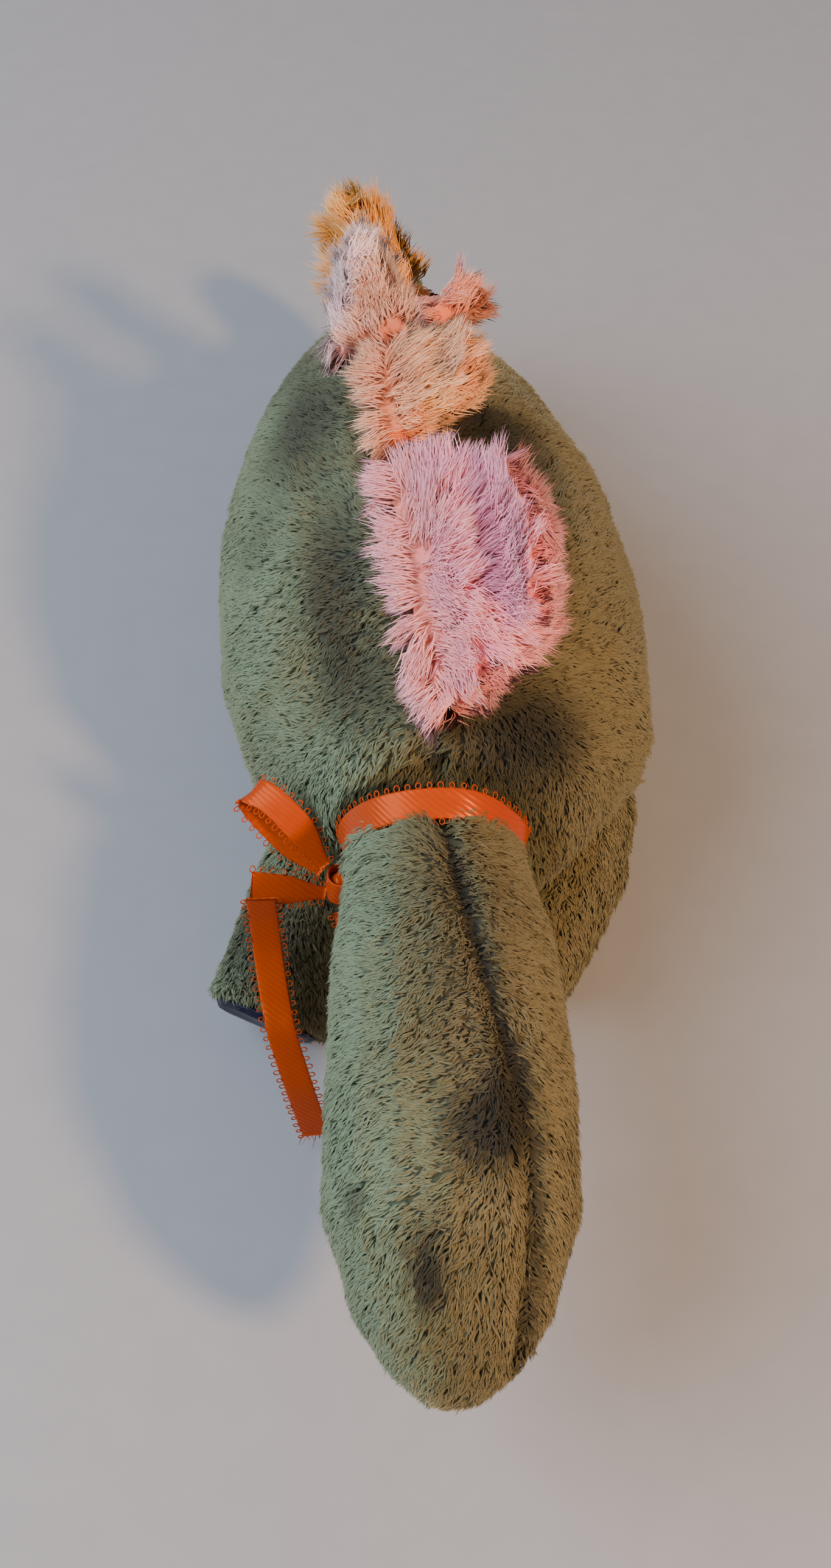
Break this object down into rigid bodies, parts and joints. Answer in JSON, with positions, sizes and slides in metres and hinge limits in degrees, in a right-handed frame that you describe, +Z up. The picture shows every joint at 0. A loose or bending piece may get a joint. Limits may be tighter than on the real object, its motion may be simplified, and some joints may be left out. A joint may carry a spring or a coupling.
{
  "type": "stuffed dinosaur",
  "caption": "Long plush dinosaur lying on its belly, with stuffed legs and tail, a crest of floppy plates down its back and a satin ribbon bow round its neck.",
  "frame": {"origin": "under the middle of the toy's box, on the surface it lies on", "axes": "-Y towards the head, +Y towards the tail, +X to the toy's left, +Z up"},
  "size_m": [0.1192, 0.3548, 0.1406],
  "materials": {
    "green_plush": "short combed pile, dyed unevenly",
    "stuffing_fibre": "loose fibre",
    "pouch_cloth": "plain weave",
    "sole_satin": "satin",
    "ribbon_satin": "satin with picot edges",
    "washer_plastic": "moulded",
    "eye_plastic": "polished",
    "crest_plush_1": "long pile",
    "crest_plush_2": "long pile",
    "crest_plush_3": "long pile",
    "crest_plush_4": "long pile",
    "crest_plush_5": "long pile"
  },
  "bodies": {
    "torso": {"torso_panel_left": "green_plush", "torso_panel_right": "green_plush", "belly_panel": "green_plush", "torso_fibre_fill": "stuffing_fibre", "bean_pouch": "pouch_cloth", "ribbon_neckband": "ribbon_satin", "ribbon_knot": "ribbon_satin", "ribbon_loop_upper": "ribbon_satin", "ribbon_loop_lower": "ribbon_satin", "ribbon_fold": "ribbon_satin", "ribbon_tail_long": "ribbon_satin", "ribbon_tail_short": "ribbon_satin"},
    "head": {"head_panel_left": "green_plush", "head_panel_right": "green_plush", "head_fibre_fill": "stuffing_fibre", "eye_left": "eye_plastic", "eye_right": "eye_plastic", "eye_washer_left": "washer_plastic", "eye_washer_right": "washer_plastic"},
    "tail": {"tail_panel_left": "green_plush", "tail_panel_right": "green_plush", "tail_fibre_fill": "stuffing_fibre"},
    "front_leg_left": {"front_leg_left_skin": "green_plush", "front_leg_left_fill": "stuffing_fibre", "front_leg_left_sole": "sole_satin"},
    "front_leg_right": {"front_leg_right_skin": "green_plush", "front_leg_right_fill": "stuffing_fibre", "front_leg_right_sole": "sole_satin"},
    "rear_leg_left": {"rear_leg_left_skin": "green_plush", "rear_leg_left_fill": "stuffing_fibre", "rear_leg_left_sole": "sole_satin"},
    "rear_leg_right": {"rear_leg_right_skin": "green_plush", "rear_leg_right_fill": "stuffing_fibre", "rear_leg_right_sole": "sole_satin"},
    "plate_1": {"plate_1_face_a": "crest_plush_1", "plate_1_face_b": "crest_plush_1"},
    "plate_2": {"plate_2_face_a": "crest_plush_2", "plate_2_face_b": "crest_plush_2"},
    "plate_3": {"plate_3_face_a": "crest_plush_3", "plate_3_face_b": "crest_plush_3"},
    "plate_4": {"plate_4_face_a": "crest_plush_4", "plate_4_face_b": "crest_plush_4"},
    "plate_5": {"plate_5_face_a": "crest_plush_5", "plate_5_face_b": "crest_plush_5"}
  },
  "joints": [
    {"name": "neck_bend", "type": "hinge", "parent": "torso", "child": "head", "pos_m": [0.00193, -0.05865, 0.071], "axis": [1, 0, 0], "range_deg": [-13, 13]},
    {"name": "tail_bend", "type": "hinge", "parent": "torso", "child": "tail", "pos_m": [-0.01007, 0.12235, 0.0455], "axis": [1, 0, 0], "range_deg": [-18, 18]},
    {"name": "front_leg_left_hip", "type": "hinge", "parent": "torso", "child": "front_leg_left", "pos_m": [0.04093, -0.01565, 0.035], "axis": [1, 0, 0], "range_deg": [-6, 20]},
    {"name": "front_leg_right_hip", "type": "hinge", "parent": "torso", "child": "front_leg_right", "pos_m": [-0.02207, -0.02565, 0.032], "axis": [1, 0, 0], "range_deg": [-6, 20]},
    {"name": "rear_leg_left_hip", "type": "hinge", "parent": "torso", "child": "rear_leg_left", "pos_m": [0.03393, 0.08435, 0.033], "axis": [1, 0, 0], "range_deg": [-6, 20]},
    {"name": "rear_leg_right_hip", "type": "hinge", "parent": "torso", "child": "rear_leg_right", "pos_m": [-0.04107, 0.08435, 0.033], "axis": [1, 0, 0], "range_deg": [-6, 20]},
    {"name": "plate_1_fold", "type": "hinge", "parent": "torso", "child": "plate_1", "pos_m": [0.00193, -0.03965, 0.1017], "axis": [-0.1636, 0.9489, 0.2699], "range_deg": [-114, 8]},
    {"name": "plate_2_fold", "type": "hinge", "parent": "torso", "child": "plate_2", "pos_m": [-0.00907, 0.02535, 0.1186], "axis": [-0.1133, 0.9912, -0.068], "range_deg": [-98, 10]},
    {"name": "plate_3_fold", "type": "hinge", "parent": "torso", "child": "plate_3", "pos_m": [-0.02307, 0.07435, 0.1048], "axis": [0.9262, 0.3705, 0.0695], "range_deg": [-24, 4]},
    {"name": "plate_4_fold", "type": "hinge", "parent": "torso", "child": "plate_4", "pos_m": [0.00193, 0.09335, 0.1008], "axis": [0, 0.8372, -0.5469], "range_deg": [-64, 4]},
    {"name": "plate_5_fold", "type": "hinge", "parent": "torso", "child": "plate_5", "pos_m": [-0.00107, 0.11335, 0.0892], "axis": [-0.8499, 0.4434, -0.2845], "range_deg": [-20, 50]}
  ]
}
